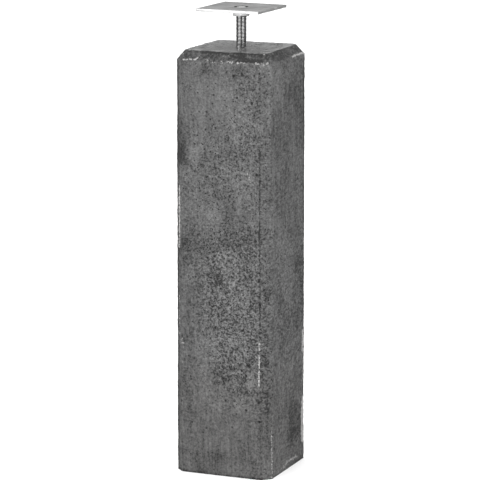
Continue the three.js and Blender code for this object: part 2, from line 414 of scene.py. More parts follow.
def stroke_distance(x, y, stroke):
    """Distance in pixels from a pixel to a stroke of straight stretches."""
    best = math.inf
    for (ax, ay), (bx, by) in zip(stroke, stroke[1:]):
        dx, dy = bx - ax, by - ay
        share = ((x - ax) * dx + (y - ay) * dy) / (dx * dx + dy * dy)
        share = min(1.0, max(0.0, share))
        best = min(best, math.hypot(x - ax - share * dx, y - ay - share * dy))
    return best


def bump_sum(x, y, bumps):
    """Sum of soft bumps, each (x, y, half width, half height, strength), at a pixel."""
    total = 0.0
    for cx, cy, wide, tall, strength in bumps:
        u, v = (x - cx) / wide, (y - cy) / tall
        distance = u * u + v * v
        if distance < 9:
            total += strength * math.exp(-0.7 * distance)
    return total


# Editing helpers

def select_only(piece):
    bpy.ops.object.select_all(action="DESELECT")
    piece.select_set(True)
    bpy.context.view_layer.objects.active = piece


def start_edit(piece):
    select_only(piece)
    bpy.ops.object.mode_set(mode="EDIT")


def end_edit():
    bpy.ops.object.mode_set(mode="OBJECT")


def choose(piece, kind, test):
    """Selects the edges or faces that pass a test, in edit mode."""
    bpy.ops.mesh.select_mode(type=kind)
    bpy.ops.mesh.select_all(action="DESELECT")
    mesh = bmesh.from_edit_mesh(piece.data)
    for item in {"EDGE": mesh.edges, "FACE": mesh.faces}[kind]:
        if test(item):
            item.select_set(True)
    bmesh.update_edit_mesh(piece.data)


def new_piece(name):
    """The object that an add operator has just made, named and with its place in its mesh."""
    piece = bpy.context.active_object
    piece.name = piece.data.name = name
    bpy.ops.object.transform_apply(location=True, rotation=True, scale=True)
    return piece


def apply_modifier(piece, kind, **settings):
    select_only(piece)
    modifier = piece.modifiers.new(kind.lower(), kind)
    for name, value in settings.items():
        setattr(modifier, name, value)
    bpy.ops.object.modifier_apply(modifier=modifier.name)


def combine(piece, tool, operation):
    """Joins, cuts or trims a piece by a tool body, and throws the tool away."""
    apply_modifier(piece, "BOOLEAN", operation=operation, object=tool, solver="EXACT")
    bpy.data.objects.remove(tool)


def tidy_normals(piece):
    start_edit(piece)
    bpy.ops.mesh.select_all(action="SELECT")
    bpy.ops.mesh.remove_doubles(threshold=WELD)
    bpy.ops.mesh.normals_make_consistent(inside=False)
    end_edit()


def finish_piece(piece, material, node, body, smooth_degrees):
    """Smooths a piece, gives it its material and ties it to the model."""
    select_only(piece)
    bpy.ops.object.shade_smooth_by_angle(angle=math.radians(smooth_degrees))
    piece.data.materials.clear()
    piece.data.materials.append(material)
    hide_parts(node)
    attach(piece, body)


# Material helpers

class Recipe:
    """A node material under construction."""

    def __init__(self, name):
        self.material = bpy.data.materials.new(name)
        self.material.use_nodes = True
        self.tree = self.material.node_tree
        self.shader = self.tree.nodes["Principled BSDF"]
        self.place = self.add("ShaderNodeTexCoord").outputs["Object"]

    def add(self, kind, inputs=None, **settings):
        node = self.tree.nodes.new(kind)
        for name, value in settings.items():
            setattr(node, name, value)
        for name, value in (inputs or {}).items():
            self.feed(value, node.inputs[name])
        return node

    def feed(self, value, socket):
        if isinstance(value, bpy.types.NodeSocket):
            self.tree.links.new(value, socket)
        else:
            socket.default_value = value

    def math(self, operation, a, b=0.0, clamp=False):
        return self.add("ShaderNodeMath", {0: a, 1: b}, operation=operation, use_clamp=clamp).outputs[0]

    def vector(self, operation, *inputs):
        node = self.add("ShaderNodeVectorMath", dict(enumerate(inputs)), operation=operation)
        return node.outputs["Value" if operation == "LENGTH" else "Vector"]

    def scaled(self, vector, factor):
        node = self.add("ShaderNodeVectorMath", {0: vector, "Scale": factor}, operation="SCALE")
        return node.outputs["Vector"]

    def weighted(self, *parts):
        """Sum of values, each of them times its share."""
        total = 0.0
        for value, share in parts:
            total = self.math("ADD", self.math("MULTIPLY", value, share), total)
        return total

    def height(self):
        return self.add("ShaderNodeSeparateXYZ", {"Vector": self.place}).outputs["Z"]

    def radius(self):
        return self.vector("LENGTH", self.vector("MULTIPLY", self.place, (1, 1, 0)))

    def stretched(self, scale, turn=0.0):
        turned = self.add("ShaderNodeMapping", {"Vector": self.place, "Rotation": (0, 0, turn)}).outputs[0]
        return self.vector("MULTIPLY", turned, scale)

    def noise(self, size, detail, rough, where=None):
        node = self.add("ShaderNodeTexNoise", {
            "Vector": where or self.place, "Scale": 1 / size, "Detail": detail, "Roughness": rough,
        })
        return node.outputs["Fac"]

    def swing(self, size, detail, rough, reach, where=None):
        """Noise from -1 to 1, both of which it meets at a reach from its middle."""
        wave = self.noise(size, detail, rough, where)
        return self.span(wave, 0.5 - reach, 0.5 + reach, -1.0, 1.0, smooth=False)

    def cells(self, size):
        node = self.add("ShaderNodeTexVoronoi", {"Vector": self.place, "Scale": 1 / size})
        return node.outputs["Distance"]

    def span(self, value, low, high, out_low=0.0, out_high=1.0, smooth=True):
        node = self.add("ShaderNodeMapRange", {
            "Value": value, "From Min": low, "From Max": high, "To Min": out_low, "To Max": out_high,
        }, interpolation_type="SMOOTHSTEP" if smooth else "LINEAR")
        return node.outputs["Result"]

    def attribute(self, name):
        return self.add("ShaderNodeAttribute", attribute_name=name).outputs["Fac"]

    def mix(self, share, a, b):
        node = self.add("ShaderNodeMix", {"Factor": share}, data_type="RGBA")
        colours = {s.identifier: s for s in node.inputs}
        self.feed(a, colours["A_Color"])
        self.feed(b, colours["B_Color"])
        return {s.identifier: s for s in node.outputs}["Result_Color"]

    def bump(self, height, distance, strength):
        inputs = {"Height": height, "Distance": distance, "Strength": strength}
        return self.add("ShaderNodeBump", inputs).outputs["Normal"]

    def finish(self, **sockets):
        for name, value in sockets.items():
            self.feed(value, self.shader.inputs[name.replace("_", " ")])
        return self.material


def grey(value, warmth=0.0):
    return (value * (1 + warmth), value, value * (1 - warmth), 1.0)


def swept(r):
    """Coordinates along and across the arcs that the trowel left."""
    arm = r.vector("MULTIPLY", r.vector("SUBTRACT", r.place, TROWEL_CENTRE), (1, 1, 0))
    heading = r.scaled(r.vector("NORMALIZE", arm), TROWEL_SWEEP)
    parts = r.add("ShaderNodeSeparateXYZ", {"Vector": heading})
    joined = r.add("ShaderNodeCombineXYZ", {
        "X": r.vector("LENGTH", arm), "Y": parts.outputs["X"], "Z": parts.outputs["Y"],
    })
    return joined.outputs[0]


def concrete_material(look):
    """Anthracite concrete: clouds, drip streaks, specks, pores darkened with painted shade, worn edges,
    lime, and a top lightened with painted light.
    """
    r = Recipe("cast_concrete")
    tone = r.attribute("tone")
    lime = r.attribute("lime")
    pit_shade = r.attribute("pit_shade")
    crowd = r.attribute("crowd")
    top = r.attribute("top")
    base = look.concrete_grey

    cloud = r.swing(CLOUD_SIZE, detail=5, rough=0.6, reach=0.18)
    patch = r.swing(PATCH_SIZE, detail=4, rough=0.6, reach=0.2)
    drip_place = r.stretched(DRIP_STRETCH)
    streak = r.swing(STREAK_SIZE, detail=3, rough=0.6, reach=0.2, where=drip_place)
    run = r.swing(RUN_SIZE, detail=3, rough=0.6, reach=0.18, where=drip_place)
    speck_place = r.stretched(SPECK_STRETCH)
    speck = r.swing(SPECK_SIZE, detail=2, rough=0.6, reach=0.2, where=speck_place)
    dust = r.swing(DUST_SIZE, detail=2, rough=0.7, reach=0.2, where=speck_place)
    trowel = r.swing(TROWEL_STREAK_SIZE, detail=4, rough=0.6, reach=0.17, where=swept(r))

    # The speckle is strongest where pores crowd, the drip streaks where the skin is smooth
    coarse = r.span(crowd, -0.5, 2.2, SPECKLE_CALM, SPECKLE_CROWDED, smooth=False)
    drips = r.span(crowd, -0.3, 1.0, DRIPS_CALM, DRIPS_CROWDED, smooth=False)
    fine = r.math("MULTIPLY", r.weighted((speck, SPECK_SHARE), (dust, DUST_SHARE)), coarse)
    swept_tone = r.math("MULTIPLY", trowel, TROWEL_SHARE)
    total = r.weighted((fine, 1.0), (cloud, CLOUD_SHARE), (patch, PATCH_SHARE), (streak, drips),
                       (run, RUN_SHARE), (tone, TONE_SHARE), (swept_tone, top))
    bright = r.math("MAXIMUM", r.math("ADD", total, 1.0), LEAST_BRIGHT)
    # The whole top is painted lighter, as painted light on the trowelled top
    bright = r.math("MULTIPLY", bright, r.math("ADD", 1.0, r.math("MULTIPLY", top, look.top_painted_light)))

    # The lowest part has taken on a trace of soil
    soil = r.span(r.height(), SOIL_FULL, SOIL_GONE, 1.0, 0.0)
    body = r.mix(soil, grey(base), grey(base, SOIL_WARMTH))
    body = r.scaled(body, bright)

    # Fine pores, more where the surface is porous; they, the pits and the cracks are darkened with painted
    # shade
    dots = r.span(r.cells(DOT_SPACING), 0.12, 0.26, 1.0, 0.0)
    spread = r.noise(DOT_PATCH_SIZE, detail=2, rough=0.5)
    keep = r.span(r.math("ADD", spread, r.math("MULTIPLY", crowd, DOT_CROWDING)), 0.50, 0.66)
    dots = r.math("MULTIPLY", dots, keep, clamp=True)
    painted_pit_shade = r.math("MULTIPLY", pit_shade, PIT_SHADE)
    dark = r.math("MAXIMUM", r.math("MULTIPLY", dots, DOT_SHADE), painted_pit_shade, clamp=True)
    # Painted shade in the drawn pores, the pits and the cracks
    body = r.mix(dark, body, grey(base * PIT_SHADE_GREY_SHARE))

    # Lime lies in crumbs: the stronger it is, the more of its grain it covers
    crumb = r.span(r.noise(LIME_CRUMB_SIZE, detail=3, rough=0.7), 0.33, 0.67, -0.6, 0.6, smooth=False)
    cover = r.span(r.math("ADD", lime, crumb), 0.4, 0.85)
    cover = r.math("MULTIPLY", cover, r.span(lime, 0.05, 0.25))
    cover = r.math("MULTIPLY", cover, look.lime_strength, clamp=True)
    body = r.mix(cover, body, grey(LIME_GREY, LIME_WARMTH))

    relief = r.weighted((speck, SPECK_RELIEF), (dots, -DOT_RELIEF), (dust, DUST_RELIEF))
    normal = r.bump(relief, RELIEF_DEPTH, r.span(top, 0.0, 1.0, 1.0, TOP_BUMP))

    # The walls are dull, and the trowelled top has a patchy gloss
    rough = r.span(patch, -1.0, 1.0, WALL_ROUGH_LEAST, WALL_ROUGH_MOST, smooth=False)
    sleek = r.span(trowel, -1.0, 1.0, TOP_ROUGH_LEAST, TOP_ROUGH_MOST, smooth=False)
    rough = r.math("ADD", rough, r.math("MULTIPLY", r.math("SUBTRACT", sleek, rough), top))
    glaze = r.span(trowel, -0.8, 0.8, TOP_GLAZE_LEAST, TOP_GLAZE_MOST, smooth=False)
    glaze = r.math("MULTIPLY", glaze, top)
    return r.finish(Base_Color=body, Roughness=rough, Normal=normal, Coat_Weight=glaze,
                    Coat_Roughness=GLAZE_ROUGH)


def zinc_material(name, side_grey, shaded_end_grey, rough, spangle_size, heights, rounding, bore_radius):
    """Zinc plating with spangle and wipe marks; its ends are painted as a darker, shaded copy of its sides,
    and its bore holds painted shade with some grease.
    """
    r = Recipe(name)
    patch = r.noise(spangle_size, detail=3, rough=0.6)
    fine = r.noise(ZINC_FINE_SIZE, detail=2, rough=0.5)
    wipe = r.noise(WIPE_SIZE, detail=2, rough=0.5, where=r.stretched(WIPE_STRETCH, WIPE_TURN))
    spangle = r.span(patch, 0.3, 0.7, -0.10, 0.10, smooth=False)
    shade = r.math("ADD", spangle, r.span(wipe, 0.3, 0.7, -0.07, 0.07))
    shade = r.math("ADD", shade, 1.0)
    low, high = heights
    off_middle = r.math("ABSOLUTE", r.math("SUBTRACT", r.height(), (low + high) / 2))
    half = (high - low) / 2
    # Painted shade: the ends are a darker copy of the zinc of the sides
    shaded_end = r.span(off_middle, half - rounding, half - 0.2 * rounding)
    colour = r.mix(shaded_end, grey(side_grey), grey(shaded_end_grey))
    # Painted shade with some grease inside the bore
    colour = r.mix(r.span(r.radius(), bore_radius, bore_radius + BORE_FADE), grey(BORE_SHADE_AND_GREASE_GREY), colour)
    colour = r.scaled(colour, shade)
    dull = r.span(patch, 0.35, 0.7, rough - 0.06, rough + 0.10)
    dull = r.math("ADD", dull, r.math("MULTIPLY", fine, 0.05))
    normal = r.bump(fine, distance=0.03 * MM, strength=0.5)
    return r.finish(Base_Color=colour, Metallic=0.9, Roughness=dull, Normal=normal)


def thread_material(rod_end):
    """Rolled thread: bright crests, painted shade with some dust and dull zinc in the roots, and a light
    sawn end.
    """
    r = Recipe("zinc_thread")
    crest = r.span(r.radius(), ROD_RADIUS - 0.55 * MM, ROD_RADIUS - 0.1 * MM)
    wear = r.span(r.noise(5 * MM, detail=3, rough=0.6), 0.3, 0.7, 0.85, 1.1)
    # Painted shade with some dust in the roots
    colour = r.mix(crest, grey(ROOT_SHADE_AND_DUST_GREY), grey(CREST_GREY))
    sawn = r.span(r.height(), rod_end - 0.3 * MM, rod_end - 0.1 * MM)
    colour = r.mix(sawn, colour, grey(SAWN_GREY))
    colour = r.scaled(colour, wear)
    return r.finish(Base_Color=colour, Metallic=1.0, Roughness=r.span(crest, 0.0, 1.0, 0.45, 0.2))


# Settings

class PostBaseLook(bpy.types.PropertyGroup):
    """Sizes and colours of the post base's finish."""

    concrete_grey: bpy.props.FloatProperty(
        name="Concrete grey", description="Reflectance of the plain concrete",
        default=0.066, min=0.02, max=0.8)
    # Painted light: how much lighter the whole top is drawn
    top_painted_light: bpy.props.FloatProperty(
        name="Top lightness", description="How much lighter the trowelled top is",
        default=1.0, min=0, max=4)
    lime_strength: bpy.props.FloatProperty(
        name="Lime", description="How strongly the lime marks cover", default=0.8, min=0, max=1)
    edge_wear: bpy.props.FloatProperty(
        name="Edge wear", description="Deepest wear along the arrises", default=EDGE_WEAR, min=0, max=0.004,
        subtype="DISTANCE", unit="LENGTH")
    small_pores: bpy.props.IntProperty(
        name="Small pores", description="Number of modelled small pores",
        default=SMALL_PORES, min=0, max=4000)
    pore_depth: bpy.props.FloatProperty(
        name="Pore depth", description="Depth of a small pore", default=PORE_DEPTH, min=0, max=0.003,
        subtype="DISTANCE", unit="LENGTH")
    floor_grey: bpy.props.FloatProperty(
        name="Floor", description="Reflectance of the studio floor", default=0.9, min=0.1, max=1)


# Concrete block

def block_rings():
    """Height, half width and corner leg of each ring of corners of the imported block, from below."""
    far = [v.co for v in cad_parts["concrete_block"].data.vertices if v.co.xy.length > 4 * ROD_RADIUS]
    rings = []
    for height in sorted({round(co.z, 5) for co in far}):
        ring = [co for co in far if abs(co.z - height) < NEAR]
        half = max(co.x for co in ring)
        inner = max(co.y for co in ring if co.x > half - NEAR)
        rings.append((height, half, half - inner))
    return rings


def fit_ring(piece, height, half, leg):
    """Puts the eight corners at one height where the mould has them."""
    mesh = bmesh.from_edit_mesh(piece.data)
    for vert in mesh.verts:
        if abs(vert.co.z - height) < NEAR:
            along_x = abs(vert.co.x) > abs(vert.co.y)
            far, near = half, half - leg
            x, y = (far, near) if along_x else (near, far)
            vert.co.x = math.copysign(x, vert.co.x)
            vert.co.y = math.copysign(y, vert.co.y)
    bmesh.update_edit_mesh(piece.data)


def rise(edge):
    """How much higher one end of an edge is than the other."""
    return abs(edge.verts[0].co.z - edge.verts[1].co.z)


def is_diagonal(edge):
    run = edge.verts[0].co - edge.verts[1].co
    return rise(edge) < NEAR and abs(abs(run.x) - abs(run.y)) < NEAR


def is_straight(edge):
    run = edge.verts[0].co - edge.verts[1].co
    return rise(edge) < NEAR and min(abs(run.x), abs(run.y)) < NEAR


def draw_in(piece, height, first_half, last_half, step):
    """Extrudes the open rim at a height inwards, ring by ring, and closes what is left."""
    choose(piece, "EDGE", lambda e: e.is_boundary and all(abs(v.co.z - height) < NEAR for v in e.verts))
    rings = round((first_half - last_half) / step)
    half = first_half
    for _ in range(rings):
        smaller = half - (first_half - last_half) / rings
        bpy.ops.mesh.extrude_edges_move()
        share = smaller / half
        bpy.ops.transform.resize(value=(share, share, 1), center_override=(0, 0, height))
        half = smaller
    bpy.ops.mesh.edge_face_add()


def cast_body():
    """The block as it leaves the mould, in cells of a little over two millimetres."""
    foot, shoulder, crown = block_rings()
    side = 2 * shoulder[1]
    bpy.ops.object.select_all(action="DESELECT")
    bpy.ops.mesh.primitive_cube_add(size=1, location=(0, 0, shoulder[0] / 2),
                                    scale=(side, side, shoulder[0]))
    piece = new_piece("cast_block")
    start_edit(piece)
    choose(piece, "EDGE", lambda e: rise(e) > side)
    bpy.ops.mesh.bevel(offset=shoulder[2], segments=1, affect="EDGES")
    choose(piece, "FACE", lambda f: f.calc_center_median().z > shoulder[0] - NEAR)
    lift = crown[0] - shoulder[0]
    bpy.ops.mesh.extrude_region_move(TRANSFORM_OT_translate={"value": (0, 0, lift)})
    for ring in (foot, shoulder, crown):
        fit_ring(piece, *ring)
    choose(piece, "FACE", lambda f: abs(f.normal.z) > 0.99)
    bpy.ops.mesh.delete(type="ONLY_FACE")
    choose(piece, "EDGE", is_diagonal)
    bpy.ops.mesh.subdivide(number_cuts=CHAMFER_CELLS - 1)
    choose(piece, "EDGE", is_straight)
    bpy.ops.mesh.subdivide(number_cuts=WIDE_CELLS - 1)
    draw_in(piece, crown[0], crown[1], TOP_INNER, TOP_STEP)
    draw_in(piece, 0, foot[1], foot[1] - FOOT_RINGS * FOOT_STEP, FOOT_STEP)
    choose(piece, "EDGE", lambda e: rise(e) > side)
    bpy.ops.mesh.subdivide(number_cuts=LONG_CELLS_FIRST - 1)
    piece_rise = shoulder[0] / LONG_CELLS_FIRST
    choose(piece, "EDGE", lambda e: rise(e) > piece_rise - NEAR)
    bpy.ops.mesh.subdivide(number_cuts=LONG_CELLS_EACH - 1)
    choose(piece, "EDGE", lambda e: rise(e) > 0.9 * lift)
    bpy.ops.mesh.subdivide(number_cuts=RIM_CELLS - 1)
    bpy.ops.mesh.select_all(action="SELECT")
    bpy.ops.mesh.normals_make_consistent(inside=False)
    end_edit()
    return piece


def refine_marks(piece, pores):
    """Finer cells round the larger pores, the spalls and the lime strokes."""
    start_edit(piece)
    strokes = [s for s, width, _ in LIME_STROKES + SPALLS + STAINS_AND_SHADOW if width < WIDE_STROKE] + CRACKS

    def near_pore(face):
        middle = face.calc_center_median()
        return any((middle - place).length < radius + FINE_ROUND_PORE for place, radius in pores)

    def near_stroke(face):
        middle = face.calc_center_median()
        if face.normal.dot(BACK) < SEEN_FACING:
            return False
        x, y = photo_pixel(middle)
        return any(stroke_distance(x, y, s) < FINE_ROUND_STROKE for s in strokes)

    choose(piece, "FACE", near_stroke)
    bpy.ops.mesh.subdivide(number_cuts=1)
    choose(piece, "FACE", near_pore)
    bpy.ops.mesh.subdivide(number_cuts=2)
    end_edit()


def arris_distance(place, rings):
    """Distance from a place on the block to the nearest arris."""
    foot, shoulder, crown = rings
    x, y = abs(place.x), abs(place.y)
    if place.z > shoulder[0]:
        share = (place.z - shoulder[0]) / (crown[0] - shoulder[0])
        low, high = shoulder, crown
    else:
        share = place.z / shoulder[0]
        low, high = foot, shoulder
    half = low[1] + (high[1] - low[1]) * share
    leg = low[2] + (high[2] - low[2]) * share
    upright = min(math.hypot(x - half, y - half + leg), math.hypot(x - half + leg, y - half))
    outer = max(x, y, (x + y - 2 * half + leg) / math.sqrt(2) + half)
    on_wall = place.z < crown[0] - NEAR
    inwards = 0.0 if on_wall else max(0.0, crown[1] - outer)
    arrises = [math.hypot(crown[0] - place.z, inwards)]
    if on_wall:
        arrises += [upright, abs(place.z - shoulder[0])]
    if place.z < FOOT_ARRIS_REACH:
        arrises.append(math.hypot(place.z, max(0.0, half - outer)))
    return min(arrises)


def photo_view_of(place, normal):
    """Pixel of a place, or of its twin on the seen side where the place itself is turned away."""
    if normal.dot(BACK) < 0 and abs(normal.z) < WALL_FACING:
        place = Vector((-place.x, -place.y, place.z))
    return photo_pixel(place)


def weather(piece, rings, pores, look):
    """Moves every point by swell, grain, trowel marks, wear, spalls and pores, and keeps the masks."""
    mesh = piece.data
    crown = rings[2]
    normals = [v.normal.copy() for v in mesh.vertices]
    for name in MASKS:
        mesh.attributes.new(name, "FLOAT", "POINT")
    masks = {name: mesh.attributes[name] for name in MASKS}
    half_limit = rings[0][1]
    for vert, normal in zip(mesh.vertices, normals):
        place = vert.co.copy()
        x, y = photo_view_of(place, normal)
        seen = normal.dot(BACK) > SEEN_FACING
        under = normal.z < UNDER_FACING
        topside = 1.0 if normal.z > TOP_FACING else 0.0
        height = SWELL_HEIGHT * noise.noise(place / SWELL_SIZE)
        height += WAVE_HEIGHT * noise.noise(place / WAVE_SIZE + Vector((7, 3, 1)))
        height += GRAIN_HEIGHT * noise.noise(place / GRAIN_SIZE)
        if topside:
            arm = (place - TROWEL_CENTRE).xy
            heading = arm.normalized() * TROWEL_SWEEP
            spot = Vector((arm.length, heading.x, heading.y)) / TROWEL_SIZE
            height = TOP_SWELL_SHARE * height + TROWEL_HEIGHT * (noise.noise(spot) - TROWEL_SINK)
        edge = max(0.0, 1 - arris_distance(place, rings) / EDGE_REACH)
        ragged = 0.5 + 0.5 * noise.noise(place / EDGE_WEAR_SIZE)
        ragged += 0.45 * noise.noise(place / EDGE_CHIP_SIZE)
        height -= look.edge_wear * edge * edge * max(0.0, ragged)
        lime = 0.0
        pit_shade = 0.0
        if seen:
            for stroke, width, strength in LIME_STROKES:
                distance = stroke_distance(x, y, stroke)
                if distance < 3 * width:
                    lime = max(lime, strength * math.exp(-(distance / width) ** 2))
            for stroke, width, depth in SPALLS:
                distance = stroke_distance(x, y, stroke)
                if distance < width:
                    bite = SPALL_BITE + SPALL_SWING * noise.noise(place / SPALL_SIZE)
                    height -= depth * MM * max(0.0, bite) * (1 - (distance / width) ** 2)
            for stroke in CRACKS:
                distance = stroke_distance(x, y, stroke)
                if distance < CRACK_WIDTH:
                    height -= CRACK_DEPTH * (1 - distance / CRACK_WIDTH)
                    # The crack is darkened with painted shade
                    pit_shade = max(pit_shade, CRACK_SHADE * (1 - distance / CRACK_WIDTH))
        for centre, radius in pores:
            if abs(place.z - centre.z) < 2 * radius:
                distance = (place - centre).length / radius
                if distance < PORE_REACH:
                    depth = 1 - min(1.0, distance) ** PORE_SQUARE
                    height -= PORE_DEPTH_SHARE * radius * depth
                    # The pore's hollow is darkened with painted shade
                    pit_shade = max(pit_shade, min(1.0, PORE_SHADE * depth))
        if under:
            height = min(0.0, height) * UNDER_SWELL_SHARE
        moved = place + normal * height
        moved.x = max(-half_limit, min(half_limit, moved.x))
        moved.y = max(-half_limit, min(half_limit, moved.y))
        moved.z = max(0.0, min(crown[0], moved.z))
        vert.co = moved
        tone = bump_sum(x, y, CLOUDS) if (seen or not topside) else 0.0
        # Dark lines, stains and the painted shadow below the rod's foot
        for stroke, width, strength in STAINS_AND_SHADOW:
            distance = stroke_distance(x, y, stroke)
            if distance < 3 * width:
                tone -= strength * math.exp(-(distance / width) ** 2)
        if place.z > rings[1][0] + NEAR and not topside:
            tone -= RIM_DARKENING * (1 + 0.5 * noise.noise(place / RIM_DARKENING_SIZE))
        tone += TONE_SWING * noise.noise(place / TONE_SIZE)
        masks["tone"].data[vert.index].value = tone
        masks["lime"].data[vert.index].value = lime
        masks["pit_shade"].data[vert.index].value = pit_shade
        crowd = CROWD_USUAL + bump_sum(x, y, PORE_CROWDS) - bump_sum(x, y, CALM_PLACES)
        masks["crowd"].data[vert.index].value = crowd
        masks["top"].data[vert.index].value = topside
    mesh.update()


def press_small_pores(piece, look):
    """Small pores as pits with a slanting wall and painted shade in their hollow, crowded as the photograph
    shows.
    """
    start_edit(piece)
    mesh = bmesh.from_edit_mesh(piece.data)
    mesh.faces.ensure_lookup_table()
    crowd = mesh.verts.layers.float["crowd"]
    draw = random.Random(PORE_SEED)
    taken = set()
    chosen = []
    order = list(range(len(mesh.faces)))
    draw.shuffle(order)
    for index in order:
        if len(chosen) >= look.small_pores:
            break
        face = mesh.faces[index]
        if len(face.verts) != 4 or face.normal.z < UNDER_FACING or face.calc_area() < PORE_CELL ** 2:
            continue
        share = max(CROWD_LEAST, face.verts[0][crowd]) / CROWD_FULL
        if draw.random() > share or any(v.index in taken for v in face.verts):
            continue
        taken.update(v.index for v in face.verts)
        chosen.append(index)
    picks = set(chosen)
    choose(piece, "FACE", lambda f: f.index in picks)
    bpy.ops.mesh.inset(thickness=PORE_RIM, depth=0, use_individual=True)
    bpy.ops.mesh.inset(thickness=PORE_WALL, depth=-look.pore_depth, use_individual=True)
    mesh = bmesh.from_edit_mesh(piece.data)
    pit_shade = mesh.verts.layers.float["pit_shade"]
    # The hollow of each small pore is darkened with painted shade
    for face in mesh.faces:
        if face.select:
            for vert in face.verts:
                vert[pit_shade] = 1.0
    bmesh.update_edit_mesh(piece.data)
    end_edit()


class POSTBASE_OT_block(bpy.types.Operator):
    """Cast the concrete block with its pores, spalls and lime"""

    bl_idname = "postbase.block"
    bl_label = "Concrete Block"

    def execute(self, context):
        look = context.scene.post_base
        pores = [(on_block(x, y), radius * MM) for x, y, radius in BIG_PORES]
        rings = block_rings()
        piece = cast_body()
        refine_marks(piece, pores)
        weather(piece, rings, pores, look)
        press_small_pores(piece, look)
        material = concrete_material(look)
        finish_piece(piece, material, "concrete_block", "post_base", smooth_degrees=50)
        return {"FINISHED"}


# Threaded rod

def drawn_profile(name, profile):
    """A line of edges through (radius, height) points in the XZ plane."""
    (radius, height), *rest = profile
    bpy.ops.object.select_all(action="DESELECT")
    bpy.ops.mesh.primitive_plane_add(size=MM, location=(radius, 0, height))
    piece = new_piece(name)
    start_edit(piece)
    bpy.ops.mesh.select_mode(type="VERT")
    bpy.ops.mesh.select_all(action="SELECT")
    bpy.ops.mesh.merge(type="CENTER")
    for next_radius, next_height in rest:
        step = (next_radius - radius, 0, next_height - height)
        bpy.ops.mesh.extrude_vertices_move(TRANSFORM_OT_translate={"value": step})
        radius, height = next_radius, next_height
    end_edit()
    return piece


def turned_body(name, profile, sides):
    """A closed body turned about Z from (radius, height) points that start and end on the axis."""
    piece = drawn_profile(name, profile)
    apply_modifier(piece, "SCREW", angle=math.tau, steps=sides, render_steps=sides)
    tidy_normals(piece)
    return piece


def thread_body(bottom, top):
    """A right-hand thread wound from its profile, with its ends closed."""
    crest, root = ROD_RADIUS, ROD_RADIUS - THREAD_DEPTH
    corner = THREAD_PITCH * THREAD_ROOT_SHARE
    flank = THREAD_PITCH * THREAD_FLANK_SHARE
    start = bottom - 2 * THREAD_PITCH
    profile = [(root, 0), (root, corner), (crest, corner + flank), (crest, THREAD_PITCH - flank),
               (root, THREAD_PITCH)]
    piece = drawn_profile("thread", [(radius, start + height) for radius, height in profile])
    turns = math.ceil((top - start) / THREAD_PITCH) + 1
    apply_modifier(piece, "SCREW", angle=math.tau, screw_offset=THREAD_PITCH, iterations=turns,
                   steps=THREAD_SIDES, render_steps=THREAD_SIDES)
    start_edit(piece)
    bpy.ops.mesh.select_all(action="SELECT")
    bpy.ops.mesh.remove_doubles(threshold=NEAR)
    bpy.ops.mesh.fill_holes(sides=0)
    end_edit()
    tidy_normals(piece)
    return piece


class POSTBASE_OT_rod(bpy.types.Operator):
    """Wind the threaded rod, turn down its end and add the stretch in the concrete"""

    bl_idname = "postbase.rod"
    bl_label = "Threaded Rod"

    def execute(self, context):
        low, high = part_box("threaded_rod")
        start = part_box("concrete_block")[1].z - ROD_SUNK
        outside = ROD_RADIUS + CUTTER_MARGIN
        slope = high.z - (outside - ROD_RADIUS + ROD_END_CHAMFER)
        envelope = turned_body("rod_envelope", [
            (0, start), (outside, start), (outside, slope),
            (ROD_RADIUS - ROD_END_CHAMFER, high.z), (0, high.z),
        ], THREAD_SIDES)
        cast_in = turned_body("cast_in", [
            (0, low.z), (ROD_RADIUS, low.z), (ROD_RADIUS, start + THREAD_PITCH), (0, start + THREAD_PITCH),
        ], THREAD_SIDES)
        piece = thread_body(start, high.z)
        combine(piece, envelope, "INTERSECT")
        combine(piece, cast_in, "UNION")
        tidy_normals(piece)
        piece.name = piece.data.name = "zinc_threaded_rod"
        material = thread_material(high.z)
        finish_piece(piece, material, "threaded_rod", "post_base", smooth_degrees=30)
        return {"FINISHED"}


# Hex nut

class POSTBASE_OT_nut(bpy.types.Operator):
    """Turn the thin hex nut under the plate"""

    bl_idname = "postbase.nut"
    bl_label = "Hex Nut"

    def execute(self, context):
        low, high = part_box("hex_nut")
        height = high.z - low.z
        corner = NUT_ACROSS_FLATS / 2 / math.cos(math.pi / 6)
        bpy.ops.object.select_all(action="DESELECT")
        bpy.ops.mesh.primitive_cylinder_add(vertices=6, radius=corner, depth=height,
                                            location=(0, 0, low.z + height / 2), rotation=(0, 0, NUT_TURN))
        piece = new_piece("zinc_hex_nut")
        outside = corner + CUTTER_MARGIN
        drop = (outside - NUT_FACE_RADIUS) * math.tan(NUT_CHAMFER)
        envelope = turned_body("nut_envelope", [
            (0, low.z), (NUT_FACE_RADIUS, low.z), (outside, low.z + drop),
            (outside, high.z - drop), (NUT_FACE_RADIUS, high.z), (0, high.z),
        ], NUT_FACE_SIDES)
        combine(piece, envelope, "INTERSECT")
        mouth = NUT_BORE_RADIUS + NUT_MOUTH_WIDENING
        below, above = low.z - CUTTER_MARGIN, high.z + CUTTER_MARGIN
        bore = turned_body("nut_bore", [
            (0, below), (mouth, below), (NUT_BORE_RADIUS, low.z + NUT_MOUTH_DEPTH),
            (NUT_BORE_RADIUS, high.z - NUT_MOUTH_DEPTH), (mouth, above), (0, above),
        ], NUT_BORE_SIDES)
        combine(piece, bore, "DIFFERENCE")
        apply_modifier(piece, "BEVEL", width=NUT_EDGE, segments=2, limit_method="ANGLE",
                       angle_limit=NUT_EDGE_ANGLE)
        tidy_normals(piece)
        # Painted shade: the top and bottom 1.5 mm of the nut are darker, as the plate's shadow above and
        # shade under the nut, and its bore is dark
        material = zinc_material("zinc_nut", side_grey=0.42, shaded_end_grey=0.10, rough=0.26, spangle_size=6 * MM,
                                 heights=(low.z, high.z), rounding=1.5 * MM, bore_radius=9 * MM)
        finish_piece(piece, material, "hex_nut", "adjusting_nut", smooth_degrees=30)
        return {"FINISHED"}


# Bearing plate

